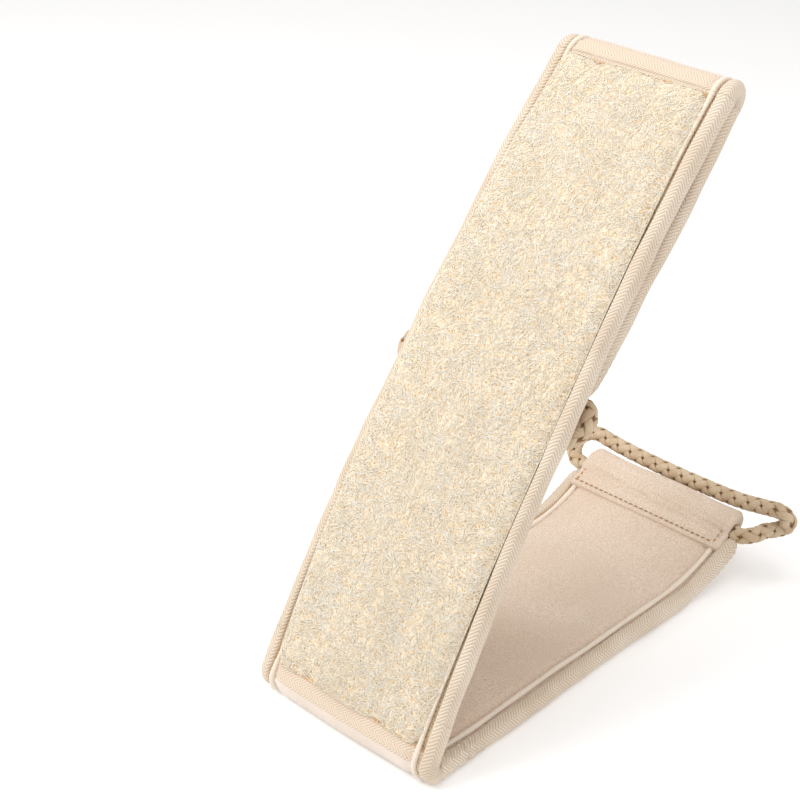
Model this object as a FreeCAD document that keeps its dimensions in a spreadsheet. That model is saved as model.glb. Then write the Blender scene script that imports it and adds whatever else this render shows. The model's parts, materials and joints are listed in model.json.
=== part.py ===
"""Loofah back scrubber: a padded strap in three sections, with a rope hand loop at each end.

The strap stands as it is put down after use. Its lower section lies on the surface, the loofah
section rises from the lower fold, and the upper section hangs folded down behind it.
Sizes are in millimetres. +X runs across the strap, +Y along the lower section from the fold to
its hem, and +Z is up. The origin is at the middle of the footprint, on the surface.
"""
import FreeCAD, Part
import math
import os

import Sketcher

V = FreeCAD.Vector
X_AXIS = V(1, 0, 0)
Y_AXIS = V(0, 1, 0)
Z_AXIS = V(0, 0, 1)

doc = FreeCAD.newDocument("loofah_back_scrubber")
subparts = []

# ---------------------------------------------------------------- driving dimensions
SIZES = {
    # the strap's cross-section: across from the middle, and up from the outer face
    "strap_thickness": 9.0,
    "field_half": 40.0,
    "bead_centre": 41.5,
    "bead_radius": 1.2,
    "bead_low": 1.2,
    "bead_high": 7.8,
    "tape_start": 43.0,
    "tape_nose": 46.0,
    "skin_low": 0.5,
    "foam_low": 2.5,
    "foam_high": 6.5,
    "skin_high": 8.5,
    # lower section
    "lower_flat": 170.0,
    "lower_curl_radius": 87.0,
    "lower_curl_angle": 27.0,
    "lower_roll": 9.0,
    # loofah section
    "middle_length": 297.0,
    "middle_incline": 55.0,
    "middle_bow": 10.0,
    "middle_twist": 8.5,
    "middle_skew": 2.5,
    "bottom_band": 4.0,
    "top_band": 2.0,
    "loofah_front": 13.0,
    # upper section
    "upper_flat": 92.0,
    "upper_curl_radius": 300.0,
    "upper_curl_angle": 6.0,
    "upper_roll": 9.9,
    "upper_spread": 0.6,
    "upper_shift": 2.0,
    # folds
    "fold_turn": 180.0,
    "fold_clearance": 0.3,
    # hems and rope
    "hem_width": 90.0,
    "hem_length": 25.0,
    "hem_thickness": 12.0,
    "tunnel_along": 13.0,
    "tunnel_height": 6.0,
    "tunnel_radius": 4.8,
    "rope_radius": 4.0,
    "whipping_radius": 4.5,
    "whipping_length": 16.0,
    "stitch_length": 2.6,
    "stitch_radius": 0.4,
    "stitch_pitch": 4.0,
    "stitch_row": 1.5,
    # the lower fold line's place, which puts the origin at the middle of the footprint
    "fold_line_x": 2.942,
    "fold_line_y": -112.394,
}
SPANS = 7            # lofted spans along the loofah panel
STITCHES = 22        # stitches in a hem's row
# Each section's sides, by the sign of its own X. The upper section faces the other way.
SIDES = {
    "lower": ((-1, "left"), (1, "right")),
    "middle": ((-1, "left"), (1, "right")),
    "upper": ((1, "left"), (-1, "right")),
}


def make_sheet():
    sheet = doc.addObject("Spreadsheet::Sheet", "Sizes")
    for row, (alias, value) in enumerate(SIZES.items(), start=1):
        sheet.set("A%d" % row, alias)
        sheet.set("B%d" % row, "%g" % value)
        sheet.setAlias("B%d" % row, alias)
    doc.recompute()
    return sheet


sheet = make_sheet()


def size(alias):
    """A cell's number, with a leading minus for the mirrored side."""
    if alias.startswith("-"):
        return -size(alias[1:])
    return float(getattr(sheet, alias))


def cell(alias):
    """The expression that reads a cell, with a leading minus for the mirrored side."""
    if alias.startswith("-"):
        return "-" + cell(alias[1:])
    return "Sizes." + alias


def mirrored(alias, side):
    return alias if side > 0 else "-" + alias


def keep(obj, name):
    """Marks a document object as a sub-part and names it."""
    obj.Label = name
    subparts.append(obj)
    return obj


# ---------------------------------------------------------------- frames
def frame(origin, across, height):
    """A placement with its X axis across the strap and its Y axis through the thickness."""
    return FreeCAD.Placement(origin, FreeCAD.Rotation(across, height, across.cross(height), "XYZ"))


FOLD_LINE = V(size("fold_line_x"), size("fold_line_y"), 0)
INCLINE = math.radians(size("middle_incline"))
RISE = V(0, math.cos(INCLINE), math.sin(INCLINE))        # the loofah section's direction
OUTWARD = V(0, -math.sin(INCLINE), math.cos(INCLINE))    # from its terry back to its loofah
LOWER_PIVOT = FOLD_LINE + Z_AXIS * size("lower_roll")


def middle_frame(distance):
    """The loofah section's cross-section at a distance from the lower fold.

    Its X axis is across, its Y axis runs from the terry back to the loofah, and its Z axis down
    to the lower fold. The section bows outward, twists about its length, and its upper fold
    lies a little askew, so that the upper section hangs to one side.
    """
    fraction = distance / size("middle_length")
    bow = 4 * size("middle_bow") * fraction * (1 - fraction)
    twist = FreeCAD.Rotation(RISE, -size("middle_twist") * fraction)
    outward = twist.multVec(OUTWARD)
    skew = FreeCAD.Rotation(outward, -size("middle_skew") * fraction)
    across = skew.multVec(twist.multVec(X_AXIS))
    return frame(LOWER_PIVOT + RISE * distance + OUTWARD * bow, across, outward)


MIDDLE_START = middle_frame(0)
MIDDLE_END = middle_frame(size("middle_length"))
END_ACROSS = MIDDLE_END.Rotation.multVec(X_AXIS)
END_OUTWARD = MIDDLE_END.Rotation.multVec(Y_AXIS)
END_DOWN = MIDDLE_END.Rotation.multVec(Z_AXIS)
UPPER_PIVOT = MIDDLE_END.Base - END_OUTWARD * (size("upper_roll") - size("strap_thickness"))


def upper_placement():
    """The upper section's frame: Y from the fold to the hem, Z from its outer face inward.

    The section hangs a little to the left of the loofah section.
    """
    spread = FreeCAD.Rotation(END_ACROSS, size("upper_spread"))
    along = spread.multVec(END_DOWN)
    inward = spread.multVec(END_OUTWARD)
    origin = UPPER_PIVOT - inward * size("upper_roll") - END_ACROSS * size("upper_shift")
    return FreeCAD.Placement(origin, FreeCAD.Rotation(END_ACROSS * -1, along, inward, "XYZ"))


def moved_aside(place):
    """Half way from the loofah section's line to the upper section's, for the cloth between."""
    shift = END_ACROSS * (-size("upper_shift") / 2)
    return FreeCAD.Placement(place.Base + shift, place.Rotation)


PLACEMENTS = {
    "lower": FreeCAD.Placement(FOLD_LINE, FreeCAD.Rotation()),
    "upper": upper_placement(),
}


# ---------------------------------------------------------------- cross-section outlines
def bind(sketch, kind, places, alias):
    """Adds a dimension to the sketch and binds it to a cell."""
    index = sketch.addConstraint(Sketcher.Constraint(kind, *places, size(alias)))
    sketch.setExpression("Constraints[%d]" % index, cell(alias))


def bind_point(sketch, geometry, point, across, height):
    bind(sketch, "DistanceX", (-1, 1, geometry, point), across)
    bind(sketch, "DistanceY", (-1, 1, geometry, point), height)


def draw_outline(sketch, corners):
    """A closed outline of straight lines through corners, each a pair of cell names."""
    first = sketch.GeometryCount
    count = len(corners)
    points = [V(size(across), size(height), 0) for across, height in corners]
    for index in range(count):
        sketch.addGeometry(Part.LineSegment(points[index], points[(index + 1) % count]))
    for index in range(count):
        following = first + (index + 1) % count
        sketch.addConstraint(Sketcher.Constraint("Coincident", first + index, 2, following, 1))
    for index, (across, height) in enumerate(corners):
        bind_point(sketch, first + index, 1, across, height)


def draw_layer(sketch, edge, low, high):
    draw_outline(sketch, [("-" + edge, low), (edge, low), (edge, high), ("-" + edge, high)])


def draw_bead(sketch, side, height):
    sketch.addGeometry(Part.Circle(V(side * size("bead_centre"), size(height), 0), Z_AXIS,
                                   size("bead_radius")))
    bind_point(sketch, 0, 3, mirrored("bead_centre", side), height)
    bind(sketch, "Radius", (0,), "bead_radius")


def draw_tape(sketch, side):
    """The edge tape: round on the outside, with a slot that holds the foam's edge."""
    start = mirrored("tape_start", side)
    nose = mirrored("tape_nose", side)
    corners = [
        (nose, "skin_low"), (start, "skin_low"), (start, "foam_low"), (nose, "foam_low"),
        (nose, "foam_high"), (start, "foam_high"), (start, "skin_high"), (nose, "skin_high")]
    points = [V(size(across), size(height), 0) for across, height in corners]
    for first, second in zip(points, points[1:]):
        sketch.addGeometry(Part.LineSegment(first, second))
    low_end, high_end = points[0], points[-1]
    middle = (low_end + high_end) * 0.5
    crest = middle + X_AXIS * (side * (high_end - low_end).Length / 2)
    arc = sketch.addGeometry(Part.Arc(low_end, crest, high_end))
    ends = (1, 2) if side > 0 else (2, 1)
    for index in range(6):
        sketch.addConstraint(Sketcher.Constraint("Coincident", index, 2, index + 1, 1))
    sketch.addConstraint(Sketcher.Constraint("Coincident", 0, 1, arc, ends[0]))
    sketch.addConstraint(Sketcher.Constraint("Coincident", 6, 2, arc, ends[1]))
    for index, (across, height) in enumerate(corners[:-1]):
        bind_point(sketch, index, 1, across, height)
    bind_point(sketch, 6, 2, *corners[-1])
    bind(sketch, "DistanceX", (-1, 1, arc, 3), nose)


def outer_cloth(sketch):
    draw_layer(sketch, "field_half", "skin_low", "foam_low")


def foam(sketch):
    draw_layer(sketch, "tape_nose", "foam_low", "foam_high")


def inner_cloth(sketch):
    draw_layer(sketch, "field_half", "foam_high", "skin_high")


def loofah(sketch):
    draw_layer(sketch, "field_half", "foam_high", "loofah_front")


def tape(side):
    return lambda sketch: draw_tape(sketch, side)


def bead(side, height):
    return lambda sketch: draw_bead(sketch, side, height)


# ---------------------------------------------------------------- lower and upper sections
def plane_of(body, role):
    for feature in body.Origin.OriginFeatures:
        if feature.Role == role:
            return feature
    raise ValueError("no origin plane " + role)


def sketch_on(body, role, name, offset_cell=None):
    sketch = body.newObject("Sketcher::SketchObject", name)
    sketch.AttachmentSupport = [(plane_of(body, role), "")]
    sketch.MapMode = "FlatFace"
    if offset_cell:
        sketch.setExpression("AttachmentOffset.Base.z", cell(offset_cell))
    return sketch


def add_curl_axis(sketch, section):
    """The line that the section's end curls about, as the sketch's construction line."""
    height = size("strap_thickness") + size(section + "_curl_radius")
    length = size("bead_centre")
    line = sketch.addGeometry(Part.LineSegment(V(0, height, 0), V(length, height, 0)), True)
    sketch.addConstraint(Sketcher.Constraint("Horizontal", line))
    sketch.addConstraint(Sketcher.Constraint("PointOnObject", line, 1, -2))
    bind(sketch, "DistanceX", (line, 1, line, 2), "bead_centre")
    index = sketch.addConstraint(Sketcher.Constraint("DistanceY", -1, 1, line, 1, height))
    sketch.setExpression("Constraints[%d]" % index,
                         "Sizes.strap_thickness + Sizes.%s_curl_radius" % section)


def add_fold_hollow(body, section):
    """Hollows the section's end so that it turns round the fold's bend."""
    sketch = sketch_on(body, "YZ_Plane", body.Name + "_hollow")
    radius = size(section + "_roll") + size("fold_clearance")
    sketch.addGeometry(Part.Circle(V(0, size(section + "_roll"), 0), Z_AXIS, radius))
    sketch.addConstraint(Sketcher.Constraint("PointOnObject", 0, 3, -2))
    bind(sketch, "DistanceY", (-1, 1, 0, 3), section + "_roll")
    index = sketch.addConstraint(Sketcher.Constraint("Radius", 0, radius))
    sketch.setExpression("Constraints[%d]" % index,
                         "Sizes.%s_roll + Sizes.fold_clearance" % section)
    hollow = body.newObject("PartDesign::Pocket", body.Name + "_fold_hollow")
    hollow.Profile = sketch
    hollow.Type = "ThroughAll"
    hollow.Midplane = True


def end_strip(section, name, draw):
    """One layer of an end section: straight from the fold, then curled up to the hem."""
    body = doc.addObject("PartDesign::Body", section + "_" + name)
    profile = sketch_on(body, "XZ_Plane", body.Name + "_profile", "-" + section + "_flat")
    draw(profile)
    add_curl_axis(profile, section)
    doc.recompute()
    straight = body.newObject("PartDesign::Pad", body.Name + "_straight")
    straight.Profile = profile
    straight.setExpression("Length", cell(section + "_flat"))
    curl = body.newObject("PartDesign::Revolution", body.Name + "_curl")
    curl.Profile = profile
    curl.ReferenceAxis = (profile, ["Axis0"])
    curl.setExpression("Angle", cell(section + "_curl_angle"))
    add_fold_hollow(body, section)
    body.Placement = PLACEMENTS[section]
    return keep(body, section + "_" + name)


def make_end_section(section):
    end_strip(section, "outer_cloth", outer_cloth)
    end_strip(section, "foam", foam)
    end_strip(section, "terry_face", inner_cloth)
    for side, word in SIDES[section]:
        end_strip(section, "edge_tape_" + word, tape(side))
        end_strip(section, "outer_piping_" + word, bead(side, "bead_low"))
        end_strip(section, "inner_piping_" + word, bead(side, "bead_high"))


# ---------------------------------------------------------------- loofah section
def station_distances():
    """Where the lofted layers have cross-sections, measured from the lower fold."""
    first = size("bottom_band")
    last = size("middle_length") - size("top_band")
    panel = [first + (last - first) * step / SPANS for step in range(SPANS + 1)]
    return [0.0] + panel + [size("middle_length")]


STATIONS = station_distances()
BOTTOM_BAND = (0, 1)
PANEL = (1, SPANS + 1)
TOP_BAND = (SPANS + 1, SPANS + 2)
WHOLE = (0, SPANS + 2)


def profile_at(placement, name, draw):
    sketch = doc.addObject("Sketcher::SketchObject", name)
    draw(sketch)
    sketch.Placement = placement
    return sketch


def middle_strip(name, draw, reach=WHOLE):
    """One layer of the loofah section, lofted through its cross-sections."""
    sections = []
    for index in range(reach[0], reach[1] + 1):
        placement = middle_frame(STATIONS[index])
        sections.append(profile_at(placement, "%s_profile_%d" % (name, index), draw))
    strip = doc.addObject("Part::Loft", name)
    strip.Sections = sections
    strip.Solid = True
    strip.Ruled = True
    return keep(strip, name)


def make_middle_section():
    middle_strip("middle_terry_back", outer_cloth)
    middle_strip("middle_foam", foam)
    middle_strip("loofah_panel", loofah, PANEL)
    middle_strip("bottom_seam_band", inner_cloth, BOTTOM_BAND)
    middle_strip("top_seam_band", inner_cloth, TOP_BAND)
    for side, word in SIDES["middle"]:
        middle_strip("middle_edge_tape_" + word, tape(side))
        middle_strip("front_piping_" + word, bead(side, "bead_high"))
        middle_strip("back_piping_" + word, bead(side, "bead_low"))


# ---------------------------------------------------------------- folds
def bent_strip(fold, name, draw, placement, pivot, turn_cell):
    """A layer's bent stretch: its cross-section turned about the fold's pivot line."""
    profile = profile_at(placement, "%s_%s_profile" % (fold, name), draw)
    bend = doc.addObject("Part::Revolution", "%s_%s" % (fold, name))
    bend.Source = profile
    bend.Axis = placement.Rotation.multVec(X_AXIS)
    bend.Base = pivot
    bend.Solid = True
    bend.setExpression("Angle", cell(turn_cell))
    return keep(bend, "%s_%s" % (fold, name))


def make_fold(fold, placement, pivot, turn_cell):
    bent_strip(fold, "outer_cloth", inner_cloth, placement, pivot, turn_cell)
    bent_strip(fold, "foam", foam, placement, pivot, turn_cell)
    bent_strip(fold, "terry", outer_cloth, placement, pivot, turn_cell)
    for side, word in SIDES["middle"]:
        bent_strip(fold, "edge_tape_" + word, tape(side), placement, pivot, turn_cell)
        bent_strip(fold, "piping_" + word, bead(side, "bead_high"), placement, pivot, turn_cell)


# ---------------------------------------------------------------- hems
def hem_placement(section):
    """The hem's frame at the end of the curl: Y towards the free end, Z from the outer face."""
    angle = math.radians(size(section + "_curl_angle"))
    inner = size(section + "_curl_radius")
    outer = inner + size("strap_thickness")
    along = size(section + "_flat") + outer * math.sin(angle)
    height = outer - outer * math.cos(angle)
    local = FreeCAD.Placement(V(0, along, height), FreeCAD.Rotation(X_AXIS, math.degrees(angle)))
    return PLACEMENTS[section].multiply(local)


def make_sleeve(section):
    """The folded hem: a flat tube with a round nose, and the rope's tunnel through it."""
    body = doc.addObject("PartDesign::Body", section + "_hem_sleeve")
    sketch = sketch_on(body, "YZ_Plane", body.Name + "_profile")
    height = size("hem_thickness")
    nose = size("hem_length") - height / 2
    points = [V(nose, height, 0), V(0, height, 0), V(0, 0, 0), V(nose, 0, 0)]
    for first, second in zip(points, points[1:]):
        sketch.addGeometry(Part.LineSegment(first, second))
    crest = V(nose + height / 2, height / 2, 0)
    sketch.addGeometry(Part.Arc(points[3], crest, points[0]))
    sketch.addConstraint(Sketcher.Constraint("Coincident", 0, 2, 1, 1))
    sketch.addConstraint(Sketcher.Constraint("Coincident", 1, 2, 2, 1))
    sketch.addConstraint(Sketcher.Constraint("Coincident", 1, 2, -1, 1))
    sketch.addConstraint(Sketcher.Constraint("Tangent", 2, 2, 3, 1))
    sketch.addConstraint(Sketcher.Constraint("Tangent", 3, 2, 0, 1))
    sketch.addConstraint(Sketcher.Constraint("Horizontal", 0))
    sketch.addConstraint(Sketcher.Constraint("Vertical", 1))
    sketch.addConstraint(Sketcher.Constraint("Horizontal", 2))
    bind(sketch, "DistanceY", (1, 2, 1, 1), "hem_thickness")
    index = sketch.addConstraint(Sketcher.Constraint("DistanceX", 2, 1, 2, 2, nose))
    sketch.setExpression("Constraints[%d]" % index,
                         "Sizes.hem_length - Sizes.hem_thickness / 2")
    tunnel = V(size("tunnel_along"), size("tunnel_height"), 0)
    sketch.addGeometry(Part.Circle(tunnel, Z_AXIS, size("tunnel_radius")))
    bind_point(sketch, 4, 3, "tunnel_along", "tunnel_height")
    bind(sketch, "Radius", (4,), "tunnel_radius")
    pad = body.newObject("PartDesign::Pad", body.Name + "_width")
    pad.Profile = sketch
    pad.Midplane = True
    pad.setExpression("Length", cell("hem_width"))
    body.Placement = hem_placement(section)
    return keep(body, section + "_hem_sleeve")


def make_stitches(section):
    """The row of thread stitches that closes the hem, each lying on the sleeve's inner edge."""
    stitches = []
    first = -(STITCHES - 1) / 2 * size("stitch_pitch") - size("stitch_length") / 2
    for index in range(STITCHES):
        stitch = doc.addObject("Part::Cylinder", "%s_stitch_%d" % (section, index))
        stitch.setExpression("Radius", cell("stitch_radius"))
        stitch.setExpression("Height", cell("stitch_length"))
        place = V(first + index * size("stitch_pitch"), size("stitch_row"),
                  size("hem_thickness") + size("stitch_radius"))
        turn = FreeCAD.Rotation(Z_AXIS, X_AXIS)
        stitch.Placement = hem_placement(section).multiply(FreeCAD.Placement(place, turn))
        stitches.append(stitch)
    row = doc.addObject("Part::Compound", section + "_hem_stitching")
    row.Links = stitches
    return keep(row, section + "_hem_stitching")


# ---------------------------------------------------------------- rope hand loops
# The free loop's route in the hem's frame, from one mouth of the sleeve round to the other:
# a turn over one shoulder, the grip along the hem's edge, a pinched bight, and back.
LOWER_ROUTE = [
    V(-45, 13, 6), V(-53, 13, 6), V(-58, 21.5, 10), V(-52.5, 31, 12.2), V(-37, 30.4, 8.8),
    V(-12, 30, 7.2), V(14, 30, 7.1), V(38, 30, 8), V(53.5, 31, 11), V(63, 31, 13.8),
    V(67, 30.5, 7.6), V(63, 29.2, 1.7), V(57, 22.5, 4.4), V(52, 13, 6), V(45, 13, 6)]
UPPER_ROUTE = [
    V(-45, 13, 6), V(-52, 13, 6), V(-57.5, 21.5, 8), V(-53, 31, 9), V(-37, 31.5, 8),
    V(-12, 31, 7.2), V(12, 31, 7), V(32, 31, 7.4), V(46, 31, 8.4),
    V(54, 27.5, 8.6), V(55.5, 20, 7.6), V(51, 13, 6), V(45, 13, 6)]
ARC_SHARE = 0.45     # of the shorter run, taken by the arc at a corner


def route_wire(points):
    """Straight runs joined by tangent arcs, with each arc as large as its runs allow."""
    edges = []
    radii = []
    start = points[0]
    for before, corner, after in zip(points, points[1:], points[2:]):
        incoming = (corner - before).normalize()
        outgoing = (after - corner).normalize()
        half_turn = incoming.getAngle(outgoing) / 2
        reach = ARC_SHARE * min((corner - before).Length, (after - corner).Length)
        arc_start = corner - incoming * reach
        arc_end = corner + outgoing * reach
        radius = reach / math.tan(half_turn)
        centre_way = (outgoing - incoming).normalize()
        centre = corner + centre_way * (radius / math.cos(half_turn))
        arc_middle = centre - centre_way * radius
        edges.append(Part.LineSegment(start, arc_start).toShape())
        edges.append(Part.Arc(arc_start, arc_middle, arc_end).toShape())
        radii.append(radius)
        start = arc_end
    edges.append(Part.LineSegment(start, points[-1]).toShape())
    return Part.Wire(edges), radii


def make_loop(section, route):
    """The rope's free loop, a plain tube along its route."""
    wire, radii = route_wire(route)
    mouth = Part.Wire([Part.Circle(route[0], route[1] - route[0], size("rope_radius")).toShape()])
    tube = wire.makePipeShell([mouth], True, False, 2)
    expected = math.pi * size("rope_radius") ** 2 * wire.Length
    print("%s rope: length %.1f, volume over section x length %.4f, radii %s" % (
        section, wire.Length, tube.Volume / expected, " ".join("%.1f" % r for r in radii)))
    loop = doc.addObject("Part::Feature", section + "_rope_loop")
    loop.Shape = tube
    loop.Placement = hem_placement(section)
    return keep(loop, section + "_rope_loop")


def lie_across(obj, section, length):
    """Lays a cylinder along the tunnel, centred across the strap."""
    place = V(-length / 2, size("tunnel_along"), size("tunnel_height"))
    turn = FreeCAD.Rotation(Z_AXIS, X_AXIS)
    obj.Placement = hem_placement(section).multiply(FreeCAD.Placement(place, turn))


def cylinder(section, name, radius_cell, length_cell):
    shape = doc.addObject("Part::Cylinder", section + "_" + name)
    shape.setExpression("Radius", cell(radius_cell))
    shape.setExpression("Height", cell(length_cell))
    lie_across(shape, section, size(length_cell))
    return shape


def make_hidden_rope(section):
    """The rope's stretch in the sleeve, and the thread whipping that joins its ends there."""
    keep(cylinder(section, "rope_in_sleeve", "rope_radius", "hem_width"),
         section + "_rope_in_sleeve")
    whipping = doc.addObject("Part::Cut", section + "_rope_whipping")
    whipping.Base = cylinder(section, "whipping_outside", "whipping_radius", "whipping_length")
    whipping.Tool = cylinder(section, "whipping_inside", "rope_radius", "whipping_length")
    keep(whipping, section + "_rope_whipping")


# ---------------------------------------------------------------- the whole strap
def make_strap():
    make_end_section("lower")
    make_end_section("upper")
    make_middle_section()
    make_fold("lower_fold", MIDDLE_START, LOWER_PIVOT, "fold_turn")
    make_fold("upper_fold", moved_aside(MIDDLE_END), UPPER_PIVOT, "-fold_turn")
    for section, route in (("lower", LOWER_ROUTE), ("upper", UPPER_ROUTE)):
        make_sleeve(section)
        make_stitches(section)
        make_loop(section, route)
        make_hidden_rope(section)


def check_document():
    for obj in doc.Objects:
        for state in ("Invalid", "Error"):
            if state in obj.State:
                raise RuntimeError("%s is %s" % (obj.Label, state))
    for part in subparts:
        shape = part.Shape
        if shape.isNull() or not shape.isValid() or not shape.Solids:
            raise RuntimeError("%s has a bad shape" % part.Label)


def report_frame():
    """Prints where the joints are and how far the origin is from the footprint's middle."""
    box = FreeCAD.BoundBox()
    for part in subparts:
        if not part.Label.endswith("rope_loop"):
            box.add(part.Shape.optimalBoundingBox(True, False))
    print("box centre %.3f %.3f lowest %.3f" % (box.Center.x, box.Center.y, box.ZMin))
    print("lower fold pivot", LOWER_PIVOT)
    print("upper fold pivot", UPPER_PIVOT, "axis", END_ACROSS)
    for section in ("lower", "upper"):
        place = hem_placement(section)
        centre = place.multVec(V(0, size("tunnel_along"), size("tunnel_height")))
        print(section, "loop pivot", centre, "axis", place.Rotation.multVec(X_AXIS))


def export():
    os.makedirs("parts", exist_ok=True)
    for part in subparts:
        part.Shape.exportStep("parts/%s.step" % part.Label)
        print("%-28s %10.1f mm3, %d solid(s)" % (
            part.Label, part.Shape.Volume, len(part.Shape.Solids)))


make_strap()
doc.recompute()
check_document()
report_frame()
export()
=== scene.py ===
"""The looks of the loofah back scrubber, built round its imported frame.

Sizes here are millimetres until a mesh is made, and MM turns them into metres. A point of the
strap is (along, across, height): along it from the lower fold, across it from its middle, and
height from its terry side out to its other side. strap_point() folds that flat strap into shape.
"""

import json
import math

import bpy
import numpy as np
from mathutils import Matrix, Vector


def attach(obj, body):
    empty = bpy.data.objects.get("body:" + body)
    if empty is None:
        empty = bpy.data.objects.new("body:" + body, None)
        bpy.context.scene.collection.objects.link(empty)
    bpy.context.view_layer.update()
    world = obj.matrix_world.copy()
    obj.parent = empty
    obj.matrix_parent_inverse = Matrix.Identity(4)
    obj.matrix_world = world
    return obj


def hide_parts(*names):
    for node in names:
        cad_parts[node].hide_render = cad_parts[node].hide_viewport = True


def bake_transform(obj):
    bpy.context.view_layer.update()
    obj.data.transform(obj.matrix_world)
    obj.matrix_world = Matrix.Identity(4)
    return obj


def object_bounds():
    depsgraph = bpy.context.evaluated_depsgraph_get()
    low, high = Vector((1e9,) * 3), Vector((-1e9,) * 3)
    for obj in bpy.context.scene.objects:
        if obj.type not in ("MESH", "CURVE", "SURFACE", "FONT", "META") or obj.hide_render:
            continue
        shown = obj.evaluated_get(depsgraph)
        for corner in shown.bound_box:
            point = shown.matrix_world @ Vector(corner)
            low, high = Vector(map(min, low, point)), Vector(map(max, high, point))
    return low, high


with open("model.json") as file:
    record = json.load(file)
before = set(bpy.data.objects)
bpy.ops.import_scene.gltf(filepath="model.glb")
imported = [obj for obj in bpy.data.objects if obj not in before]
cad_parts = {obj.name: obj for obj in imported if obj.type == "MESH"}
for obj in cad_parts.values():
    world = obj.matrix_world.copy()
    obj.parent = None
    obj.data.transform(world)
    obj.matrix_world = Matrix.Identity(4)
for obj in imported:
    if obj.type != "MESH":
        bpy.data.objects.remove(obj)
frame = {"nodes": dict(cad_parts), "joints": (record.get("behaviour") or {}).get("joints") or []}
cad_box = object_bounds()

MM = 0.001
rng = np.random.default_rng(41)

# ---------------------------------------------------------------- the strap's design sizes
THICKNESS = 9.0
LOWER_FLAT = 170.0
LOWER_CURL_RADIUS = 87.0
LOWER_CURL = math.radians(27)
MIDDLE_LENGTH = 297.0
INCLINE = math.radians(55)
BOW = 10.0
TWIST = math.radians(8.5)
SKEW = math.radians(2.5)
BOTTOM_BAND = 4.0
TOP_BAND = 2.0
UPPER_FLAT = 92.0
UPPER_CURL_RADIUS = 300.0
UPPER_CURL = math.radians(6)
UPPER_GAP = 0.9
SPREAD = math.radians(0.6)
UPPER_SHIFT = 2.0
HEM_HALF = 45.0
TUNNEL_ALONG = 13.0
TUNNEL_HEIGHT = 6.0
TUNNEL_RADIUS = 4.6
FIELD_HALF = 40.2
BEAD_CENTRE = 41.5
BEAD_RADIUS = 1.3

# The free loop's route in the hem's frame: across the hem, towards its edge, and up from its
# outer face.
LOWER_ROUTE = [
    (-45, 13, 6), (-53, 13, 6), (-58, 21.5, 10), (-52.5, 31, 12.2), (-37, 30.4, 8.8),
    (-12, 30, 7.2), (14, 30, 7.1), (38, 30, 8), (53.5, 31, 11), (63, 31, 13.8),
    (67, 30.5, 7.6), (63, 29.2, 1.7), (57, 22.5, 4.4), (52, 13, 6), (45, 13, 6)]
UPPER_ROUTE = [
    (-45, 13, 6), (-52, 13, 6), (-57.5, 21.5, 8), (-53, 31, 9), (-37, 31.5, 8),
    (-12, 31, 7.2), (12, 31, 7), (32, 31, 7.4), (46, 31, 8.4), (54, 27.5, 8.6),
    (55.5, 20, 7.6), (51, 13, 6), (45, 13, 6)]

# ---------------------------------------------------------------- places along the strap
JOINTS = {joint["name"]: joint for joint in frame["joints"]}
X_AXIS = np.array((1.0, 0.0, 0.0))
Z_AXIS = np.array((0.0, 0.0, 1.0))
RISE = np.array((0.0, math.cos(INCLINE), math.sin(INCLINE)))
OUTWARD = np.array((0.0, -math.sin(INCLINE), math.cos(INCLINE)))
LOWER_PIVOT = np.array(JOINTS["lower_fold"]["pos_m"]) / MM
UPPER_PIVOT = np.array(JOINTS["upper_fold"]["pos_m"]) / MM
FOLD_FOOT = LOWER_PIVOT - Z_AXIS * THICKNESS
LOWER_TURN = math.pi - INCLINE
UPPER_TURN = math.pi - SPREAD
LOWER_END = -(LOWER_FLAT + (LOWER_CURL_RADIUS + THICKNESS) * LOWER_CURL)
MIDDLE_START = THICKNESS * LOWER_TURN
MIDDLE_END = MIDDLE_START + MIDDLE_LENGTH
UPPER_START = MIDDLE_END + (THICKNESS + UPPER_GAP) * UPPER_TURN
UPPER_END = UPPER_START + UPPER_FLAT + (UPPER_CURL_RADIUS + THICKNESS) * UPPER_CURL
PANEL_START = MIDDLE_START + BOTTOM_BAND
PANEL_END = MIDDLE_END - TOP_BAND
BAND_WIDTH = 8.5      # the ribbed bands beside the loofah's two ends
FOLD_REACH = 17.0     # how far the lower fold's own cloth runs along the sections


def column(values):
    return np.asarray(values, float)[..., None]


def smoothstep(values, start, end):
    share = np.clip((values - start) / (end - start), 0, 1)
    return share * share * (3 - 2 * share)


def middle_frame(distance):
    """The loofah section's middle line, across direction and outward direction."""
    share = distance / MIDDLE_LENGTH
    twist = column(TWIST * share)
    skew = column(SKEW * share)
    outward = OUTWARD * np.cos(twist) - X_AXIS * np.sin(twist)
    across = X_AXIS * np.cos(twist) + OUTWARD * np.sin(twist)
    across = across * np.cos(skew) - RISE * np.sin(skew)
    bow = 4 * BOW * share * (1 - share)
    middle = LOWER_PIVOT + RISE * column(distance) + OUTWARD * column(bow)
    return middle, across, outward


_, END_ACROSS, END_OUTWARD = middle_frame(np.array(MIDDLE_LENGTH))
END_UP = np.cross(END_OUTWARD, END_ACROSS)
UPPER_INWARD = END_OUTWARD * math.cos(SPREAD) - END_UP * math.sin(SPREAD)
UPPER_ALONG = -END_UP * math.cos(SPREAD) - END_OUTWARD * math.sin(SPREAD)
UPPER_ORIGIN = UPPER_PIVOT - UPPER_INWARD * (THICKNESS + UPPER_GAP)


def end_section(distance, height, flat, curl_radius, curl):
    """How far from the fold, and how far up from the outer face, a point of an end section is."""
    outer = curl_radius + THICKNESS
    turn = np.clip((distance - flat) / outer, 0, curl)
    beyond = np.clip(distance - flat - outer * curl, 0, None)
    radius = curl_radius + height
    away = np.minimum(distance, flat) + radius * np.sin(turn) + beyond * np.cos(turn)
    up = outer - radius * np.cos(turn) + beyond * np.sin(turn)
    return away, up


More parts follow.
